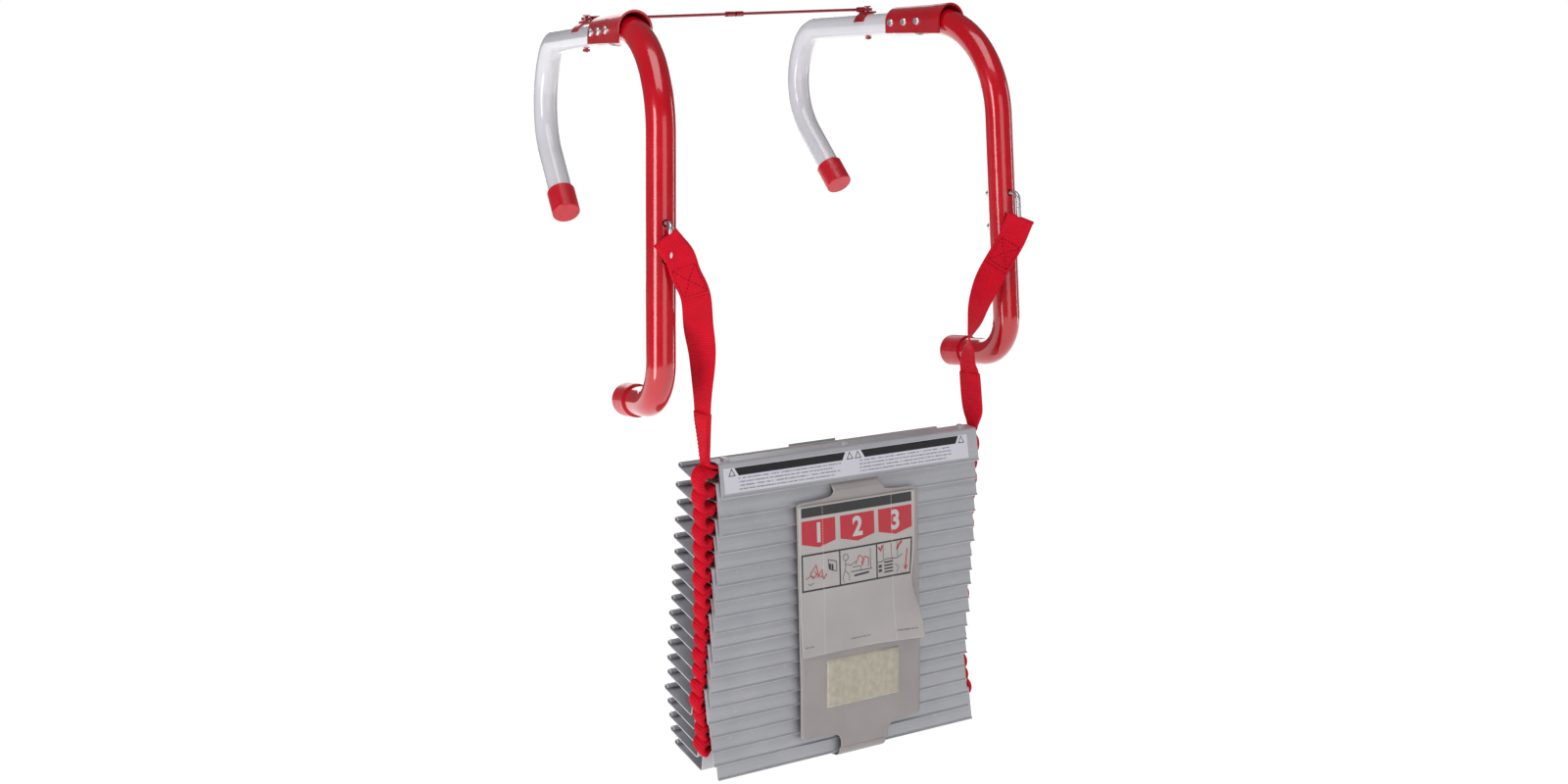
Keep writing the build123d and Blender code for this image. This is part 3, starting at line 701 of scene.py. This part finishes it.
def seam(name, rows, corners, lift):
    """A row of stitches over a strap through corners given as across and along."""
    spots = []
    for (a0, s0), (a1, s1) in zip(corners, corners[1:]):
        count = max(2, int(np.hypot(a1 - a0, s1 - s0) / (1.5 * mm)))
        spots += [(a0 + (a1 - a0) * t, s0 + (s1 - s0) * t) for t in np.arange(count) / count]
    spots.append(corners[-1])
    placed = [on_cloth(rows, a, s, lift) for a, s in spots]
    made = stitches(name, [p for p, _ in placed], [n for _, n in placed], thread)
    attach(made, "hooks")


for side in sides:
    rows = strap_rows(side)
    run, wide, normal = ribbon_frame(rows)
    front_side = -1 if np.dot(normal[8], backward) > 0 else 1
    apart = np.clip(1 - run / wire_lead, 0, 1)[:, None]
    eased = apart * apart * (3 - 2 * apart)
    spread = ply_reach + (wire_reach - ply_reach) * eased
    lapped = np.clip((lap_length + 6 * mm - run) / (8 * mm), 0, 1)[:, None]
    main = rows.copy()
    main[:, :3] -= normal * front_side * lapped * spread
    lap = rows[run < lap_length].copy()
    lap[:, :3] += (normal * front_side * spread)[: len(lap)]
    lap[:, 6] -= 0.8 * mm
    outward = unit(rows[1, :3] - rows[0, :3])
    bend = []
    for turn in np.linspace(0.6 * pi, 1.4 * pi, 9):
        round_wire = normal[0] * front_side * spread[0] * sin(turn)
        spot = rows[0, :3] + outward * bow_offsets[side] * cos(turn) + round_wire
        bend.append((*spot, *wide[0], rows[0, 6]))
    whole = np.vstack([lap[::-1], np.array(bend), main])
    strap = ribbon(f"upper_strap_{side}", whole, strap_ply, looks["red_webbing"])
    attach(strap, "hooks")
    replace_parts(strap, "upper_straps")
    top = front_side * (strap_ply * 1.02 + 0.15 * mm)
    half = strap_wide * mm / 2 - 2.6 * mm
    box_top, box_end = lap_length - 28 * mm, lap_length - 3 * mm
    seam(
        f"strap_box_stitch_{side}",
        rows,
        [(-half, box_top), (half, box_top), (half, box_end), (-half, box_end), (-half, box_top)],
        top,
    )
    seam(f"strap_cross_stitch_{side}", rows, [(-half, box_top), (half, box_end)], top)
    seam(f"strap_counter_stitch_{side}", rows, [(half, box_top), (-half, box_end)], top)

    level = fold_start[side]
    folded = rows[rows[:, 2] < level].copy()
    folded[:, 6] += 1.6 * mm * np.linspace(1, 0, len(folded))
    end = interval(1)[4][side][0]
    out = sides[side]
    turned = folded[-1].copy()
    tail = [turned]
    for past, drop in ((2.2, 2.0), (-2, 2.9), (-10, 2.9)):
        row = turned.copy()
        row[0], row[2] = end + out * past * mm, interval(1)[0] - drop * mm
        tail.append(row)
    folded = np.vstack([folded[:-1], smooth_rows(tail, 1.5 * mm)])
    fold = ribbon(f"upper_strap_fold_{side}", folded, 3.4 * mm, looks["red_webbing"], crown=0.5 * mm)
    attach(fold, "hooks")
    edge = folded[0, 6] / 2 - 2.2 * mm
    length = ribbon_frame(folded)[0][-1]
    top = front_side * 2.15 * mm
    seam(
        f"fold_stitch_{side}",
        folded,
        [(-edge * 0.5, length * 0.62), (-edge, 3 * mm), (edge, 3 * mm), (edge * 0.5, length * 0.62)],
        top,
    )


# ---------------------------------------------------------------- the band, its patch and the flap
def slab(name, front, back, material, cloth):
    """A thin closed sheet from matching grids of front and back points."""
    rows, columns = front.shape[:2]
    count = rows * columns
    faces = []
    for i in range(rows - 1):
        for j in range(columns - 1):
            a = i * columns + j
            faces.append((a, a + columns, a + columns + 1, a + 1))
            faces.append((count + a, count + a + 1, count + a + columns + 1, count + a + columns))
    rim = list(range(columns))
    rim += [i * columns + columns - 1 for i in range(1, rows)]
    rim += [(rows - 1) * columns + j for j in range(columns - 2, -1, -1)]
    rim += [i * columns for i in range(rows - 2, 0, -1)]
    for a, b in zip(rim, rim[1:] + rim[:1]):
        faces.append((a, b, count + b, count + a))
    points = np.vstack([front.reshape(-1, 3), back.reshape(-1, 3)])
    flat = cloth.reshape(-1, 2)
    sheet = np.vstack([np.c_[flat, np.zeros(count)], np.c_[flat, np.ones(count)]])
    return add_mesh(name, points, faces, material, sheet)


band_sheet = 0.7 * mm
flap_low, flap_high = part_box("instruction_flap")
patch_low, patch_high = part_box("hook_loop_patch")
band_low, band_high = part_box("band_front_panel")
band_foot = patch_low.z - 24.6 * mm
neck_half = 28.5 * mm
neck_shift = 4 * mm
panel_middle = (band_low.x + band_high.x) / 2
panel_half = (band_high.x - band_low.x) / 2
shoulder_round, corner_round = 11 * mm, 4.5 * mm


def flare(depth, neck):
    """Half the band's width, at a depth past the level where its hollow shoulder leaves the neck."""
    shoulder, reach = shoulder_round, panel_half - neck
    if depth <= 0:
        return neck
    if depth < shoulder:
        hollow = shoulder - (shoulder**2 - depth**2) ** 0.5
        past_round = (reach - corner_round - shoulder) / shoulder
        return neck + hollow * (1 + past_round * (depth / shoulder) ** 10)
    past = min(depth - shoulder, corner_round)
    round_off = corner_round - (corner_round**2 - (corner_round - past) ** 2) ** 0.5
    return neck + reach - round_off


def lean_of(z):
    """How far the hanging panel leans to the left at a height."""
    above = (z - (flap_high.z + band_foot) / 2) / (105 * mm)
    return 3.2 * mm * min(1.0, max(-0.6, above))


def band_panel():
    """The band's front: a neck tucked behind the top rung, a shouldered panel and a lower neck."""
    shoulder = flap_high.z + 3 * mm + shoulder_round
    foot = band_foot - shoulder_round
    levels = np.concatenate(
        [
            np.linspace(band_high.z, shoulder, 14),
            shoulder - np.linspace(0.4, 16.2, 44) * mm,
            np.linspace(shoulder - 18 * mm, foot + 18 * mm, 60),
            foot + np.linspace(16.2, 0.4, 44) * mm,
            np.linspace(foot, band_low.z, 14),
        ]
    )
    tuck = [band_high.z, band_high.z - 7.3 * mm, band_high.z - 13 * mm, band_low.z]
    proud = band_low.y + 0.35 * mm
    faces_at = [band_high.y - 0.3 * mm, band_high.y - 1.3 * mm, proud, proud]
    front, cloth = [], []
    for z in levels:
        y = np.interp(-z, [-t for t in tuck], faces_at)
        left = -min(flare(shoulder - z, neck_half), flare(z - foot, neck_half - neck_shift))
        right = min(flare(shoulder - z, neck_half), flare(z - foot, neck_half + neck_shift))
        row = []
        for share in np.linspace(0, 1, 33):
            x = panel_middle + left + (right - left) * share - lean_of(z)
            calm = np.clip((band_high.z - 14 * mm - z) / (20 * mm), 0, 1)
            wave = 0.5 * sin(x / (17 * mm) + 1.2 * sin(z / (41 * mm))) + 0.3 * sin(z / (9 * mm))
            row.append((x, y - 0.35 * mm - calm * 0.35 * mm * (wave + 0.8), z))
            cloth.append((x, z))
        front.append(row)
    front = np.array(front)
    back = front + np.array((0, band_sheet, 0))
    panel = slab("band_panel", front, back, looks["band_fabric"], np.array(cloth))
    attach(panel, "hooks")
    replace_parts(panel, "band_front_panel")


def band_back():
    """The band's rear strap: under the stack and up behind the rungs' shelves."""
    low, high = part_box("band_rear_strap")
    half_sheet, corner = band_sheet / 2, 6 * mm
    front, floor_z, rear = low.y + half_sheet, low.z + half_sheet, high.y - half_sheet
    near, far, round_z = front + corner, rear - corner, floor_z + corner
    turns = np.linspace(0.3, 1.3, 4)
    path = [(front, floor_z + 7.9 * mm), (front, round_z)]
    path += [(near - corner * cos(t), round_z - corner * sin(t)) for t in turns]
    path += [(y, floor_z) for y in np.linspace(near, far, 5)]
    path += [(far + corner * sin(t), round_z - corner * cos(t)) for t in turns]
    climb = np.linspace(round_z, high.z, 14)
    path += [(rear + 0.5 * mm * sin(z / (23 * mm)), z) for z in climb]
    middle = (low.x + high.x) / 2
    rows = [(middle, y, z, 1, 0, 0, high.x - low.x) for y, z in path]
    rows = smooth_rows(rows, 2.5 * mm)
    strap = ribbon("band_back", rows, band_sheet, looks["band_fabric"])
    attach(strap, "hooks")
    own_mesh(strap)
    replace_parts(strap, "band_rear_strap")


def patch():
    """The touch fastener's looped half, sewn down round its edge."""
    low, high = patch_low, patch_high
    thick = high.y - low.y
    xs, zs = np.linspace(low.x, high.x, 45), np.linspace(high.z, low.z, 25)
    front, cloth = [], []
    for z in zs:
        row = []
        for x in xs:
            inset = min(x - low.x, high.x - x, z - low.z, high.z - z)
            soft = np.clip(inset / (2.6 * mm), 0, 1)
            row.append((x, high.y - thick * (0.35 + 0.75 * soft), z))
            cloth.append((x, z))
        front.append(row)
    front = np.array(front)
    back = front.copy()
    back[..., 1] = high.y
    made = slab("patch_pile", front, back, looks["patch"], np.array(cloth))
    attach(made, "hooks")
    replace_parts(made, "hook_loop_patch")
    edge = 1.7 * mm
    corners = [
        (low.x + edge, high.z - edge),
        (high.x - edge, high.z - edge),
        (high.x - edge, low.z + edge),
        (low.x + edge, low.z + edge),
        (low.x + edge, high.z - edge),
    ]
    line = []
    for (x0, z0), (x1, z1) in zip(corners, corners[1:]):
        line += [(x0 + (x1 - x0) * t, low.y + 0.1 * mm, z0 + (z1 - z0) * t) for t in np.arange(40) / 40]
    sewn = stitches("patch_stitch", line, [(0, -1, 0)] * len(line), grey_thread, 2.2 * mm, 1.0 * mm)
    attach(sewn, "hooks")


def flap_point(u, v, lift=0.0):
    """A point on the flap's face, u from its left edge and v down from its top, lifted off it."""
    crease = ((u - 136 * mm) * 0.859 + (v - 58 * mm) * 0.511) / mm
    curl = 0.3 * ((crease**2 + 26) ** 0.5 + crease) / 2 * mm
    belly = 1.0 * mm * sin(pi * min(1, v / flap_size[1])) * sin(pi * min(1, max(0, u / flap_size[0])))
    edge = 1.5 * mm * max(0.0, (v - 98 * mm) / (39 * mm)) * max(0.0, 1 - u / (40 * mm))
    margin = max(0.0, (u - 112 * mm) / (29 * mm))
    pinch = margin * margin * np.exp(-(((v - 84 * mm) / (24 * mm)) ** 2))
    return np.array(
        (
            flap_low.x + u - 7 * mm * pinch - 0.06 * curl - lean_of(flap_high.z - v),
            flap_low.y - 0.6 * mm - curl * (1 - 0.5 * pinch) - belly - edge - lift,
            flap_high.z - v + 0.05 * curl,
        )
    )


def flap():
    """The printed instruction flap, its lower right corner curling up."""
    us, vs = np.linspace(0, flap_size[0], 90), np.linspace(0, flap_size[1], 86)
    front, cloth = [], []
    for v in vs:
        corner = 2.0 * mm
        pull = max(0.0, corner - v, corner - (flap_size[1] - v))
        inset = corner - (corner**2 - pull**2) ** 0.5
        row = []
        for u in us:
            held = inset + (flap_size[0] - 2 * inset) * u / flap_size[0]
            row.append(flap_point(held, v))
            cloth.append((held, v))
        front.append(row)
    front = np.array(front)
    back = front + np.array((0, 0.4 * mm, 0))
    made = slab("flap_film", front, back, looks["flap"], np.array(cloth))
    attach(made, "hooks")
    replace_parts(made, "instruction_flap")


def numeral(text, start, end):
    """A white numeral printed on one pennant."""
    curve = bpy.data.curves.new(f"numeral_curve_{text}", "FONT")
    curve.body = text
    curve.size = 24 * mm
    curve.offset = 0.9 * mm
    curve.align_x = "CENTER"
    source = bpy.data.objects.new("numeral_source", curve)
    bpy.context.scene.collection.objects.link(source)
    bpy.context.view_layer.update()
    graph = bpy.context.evaluated_depsgraph_get()
    mesh = bpy.data.meshes.new_from_object(source.evaluated_get(graph))
    points = [(v.co.x, v.co.y) for v in mesh.vertices]
    faces = [tuple(p.vertices) for p in mesh.polygons]
    bpy.data.objects.remove(source)
    middle, foot = (start + end) / 2, 33.2 * mm
    placed = [flap_point(middle + x, foot - y, 0.15 * mm) for x, y in points]
    made = add_mesh(f"numeral_{text}", placed, faces, white_ink)
    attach(made, "hooks")


def stroke(points, width):
    """Points and faces of one flat printed line along points given on the flap, in millimetres."""
    fine = []
    for (u0, v0), (u1, v1) in zip(points, points[1:]):
        count = max(1, int(np.hypot(u1 - u0, v1 - v0) / 2))
        fine += [(u0 + (u1 - u0) * t, v0 + (v1 - v0) * t) for t in np.arange(count) / count]
    fine = np.array(fine + [points[-1]], float)
    ahead = unit(np.gradient(fine, axis=0) + 1e-9)
    side = np.c_[-ahead[:, 1], ahead[:, 0]] * width / 2
    placed = []
    for spot, off in zip(fine, side):
        for edge in (spot + off, spot - off):
            placed.append(flap_point(edge[0] * mm, edge[1] * mm, 0.14 * mm))
    return placed, [(2 * i, 2 * i + 1, 2 * i + 3, 2 * i + 2) for i in range(len(fine) - 1)]


def picture(name, strokes, material):
    """A small line picture made of several printed strokes."""
    points, faces = [], []
    for line, width in strokes:
        placed, made = stroke(line, width)
        faces += [tuple(i + len(points) for i in face) for face in made]
        points += placed
    drawn = add_mesh(name, points, faces, material)
    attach(drawn, "hooks")


def ring(u, v, radius):
    """A closed round line on the flap."""
    return [(u + radius * cos(t), v + radius * sin(t)) for t in np.linspace(0, 2 * pi, 13)]


white_ink = ink("white_ink", (0.55, 0.53, 0.53))
black_ink = ink("black_ink", (0.02, 0.02, 0.022))
red_ink = ink("red_ink", (0.52, 0.008, 0.02))
band_panel()
band_back()
patch()
flap()
for text, (start, end) in zip("123", badges):
    numeral(text, start, end)
picture(
    "picture_unpack",
    [
        ([(33, 51), (43, 54), (43, 63), (34, 60), (33, 51)], 0.7),
        ([(35, 55), (35, 60)], 2.4),
        ([(38, 56), (38, 61.5)], 2.2),
        ([(7, 66), (13, 63), (17, 66)], 0.5),
        ([(9, 70), (12, 72), (16, 70)], 0.5),
        ([(24, 64), (28, 68), (31, 63)], 0.5),
    ],
    black_ink,
)
picture(
    "picture_unpack_hooks",
    [
        ([(12, 62), (19, 54), (21, 62), (15, 66), (12, 62)], 0.9),
        ([(20, 66), (26, 59), (27, 68), (31, 64)], 0.9),
        ([(17, 60), (24, 66)], 0.8),
    ],
    red_ink,
)
picture(
    "picture_hang",
    [
        (ring(54, 52, 3), 0.5),
        ([(54, 55), (53, 64), (58, 68), (58, 74)], 0.5),
        ([(53, 58), (60, 60), (66, 57)], 0.5),
        ([(53, 64), (50, 70), (52, 75)], 0.5),
        ([(60, 66), (86, 66)], 0.7),
        ([(62, 62), (72, 62), (72, 66)], 0.5),
        ([(84, 47), (84, 66)], 0.5),
        ([(64, 70), (82, 69)], 1.8),
    ],
    black_ink,
)
picture(
    "picture_hang_hooks",
    [
        ([(66, 60), (70, 52), (75, 55), (73, 61)], 0.9),
        ([(74, 62), (77, 54), (82, 56), (81, 64)], 0.9),
    ],
    red_ink,
)
picture(
    "picture_drop",
    [
        ([(100, 46), (100, 60)], 0.5),
        ([(110, 46), (111, 62)], 0.5),
        ([(118, 46), (118, 60)], 0.5),
        ([(93, 62), (97, 62), (104, 60), (118, 61), (124, 58)], 0.6),
        ([(101, 63), (112, 63)], 1.4),
        ([(101, 66), (112, 66)], 1.4),
        ([(101, 69), (112, 69)], 1.4),
        ([(101, 72), (112, 72)], 1.4),
        ([(94, 66), (98, 66)], 2.6),
        ([(94, 70), (98, 70)], 2.6),
        ([(115, 66), (120, 70), (116, 74)], 0.5),
    ],
    black_ink,
)
picture(
    "picture_drop_arrows",
    [
        ([(94, 48), (97, 52), (99, 47)], 1.8),
        ([(117, 53), (121, 48), (124, 46)], 2.2),
        ([(129, 72), (130, 62), (131, 54)], 1.3),
        ([(127, 69), (129, 73), (132, 69)], 1.0),
    ],
    red_ink,
)


# ---------------------------------------------------------------- camera, light and floor
def look(thing, target):
    """Turns a light or camera to face a point."""
    thing.rotation_mode = "QUATERNION"
    thing.rotation_quaternion = (Vector(target) - thing.location).to_track_quat("-Z", "Y")


def softbox(name, azimuth, height, distance, width, tall, radiance):
    """A plain soft light round the object: azimuth 0 is in front, 90 on the +X side."""
    light = bpy.data.lights.new(name, "AREA")
    light.shape = "RECTANGLE"
    light.size, light.size_y = width, tall
    light.energy = radiance * pi * width * tall
    thing = bpy.data.objects.new(name, light)
    bpy.context.scene.collection.objects.link(thing)
    middle = (cad_low + cad_high) / 2
    a = radians(azimuth)
    thing.location = middle + Vector((distance * sin(a), -distance * cos(a), height))
    look(thing, middle)
    thing.visible_camera = False


softbox("softbox_left", -79, 0.15, 2.1, 0.6, 1.9, 5.6)
softbox("softbox_front", -12, 0.5, 2.6, 1.3, 1.5, 1.2)
softbox("softbox_top", -30, 2.2, 0.9, 1.6, 1.6, 2.4)
softbox("softbox_right", 70, 0.3, 2.6, 0.35, 1.6, 3.0)
softbox("softbox_back", 150, 0.6, 2.6, 1.2, 1.6, 2.0)

world = bpy.data.worlds.new("studio")
world.use_nodes = True
bpy.context.scene.world = world
nodes, links = world.node_tree.nodes, world.node_tree.links
shown, lit = nodes["Background"], nodes.new("ShaderNodeBackground")
choice = nodes.new("ShaderNodeMixShader")
rays = nodes.new("ShaderNodeLightPath")
level = nodes.new("ShaderNodeMapRange")  # the room is dimmer in reflections, as a studio's dark corners are
level.inputs["To Min"].default_value, level.inputs["To Max"].default_value = 0.2, 0.1
links.new(rays.outputs["Is Glossy Ray"], level.inputs["Value"])
links.new(level.outputs["Result"], lit.inputs["Strength"])
shown.inputs["Color"].default_value = (1, 1, 1, 1)
shown.inputs["Strength"].default_value = 1.0
lit.inputs["Color"].default_value = (0.98, 0.99, 1, 1)
links.new(rays.outputs["Is Camera Ray"], choice.inputs[0])
links.new(lit.outputs[0], choice.inputs[1])
links.new(shown.outputs[0], choice.inputs[2])
links.new(choice.outputs[0], nodes["World Output"].inputs["Surface"])

floor_shader = Shader("floor", Roughness=0.95, Emission_Color=(1, 1, 1, 1), Emission_Strength=1.0)
floor_shader.colour(
    floor_shader.mix(floor_shader.noise(floor_shader.where(), 3, 2), (0.5, 0.5, 0.5), (0.52, 0.52, 0.52))
)
half = 60.0
hanging_depth = 6.4  # the ladder at its full drop still hangs clear of the floor
floor_level = cad_low.z - hanging_depth
corners = [(-half, -half), (half, -half), (half, half), (-half, half)]
floor = add_mesh(
    "floor", [(x, y, floor_level) for x, y in corners], [(0, 1, 2, 3)], floor_shader.material
)

camera = bpy.data.objects.new("camera", bpy.data.cameras.new("camera"))
bpy.context.scene.collection.objects.link(camera)
camera.data.lens = 58.5
camera.data.clip_end = 200
camera.location = (-1530.8 * mm, -1836.7 * mm, 7.5 * mm)
swing, dip = radians(41.03), radians(8.01)
sight = Vector((sin(swing) * cos(dip), cos(swing) * cos(dip), -sin(dip)))
look(camera, camera.location + sight)
bpy.context.scene.camera = camera
bpy.context.scene.view_settings.view_transform = "Standard"
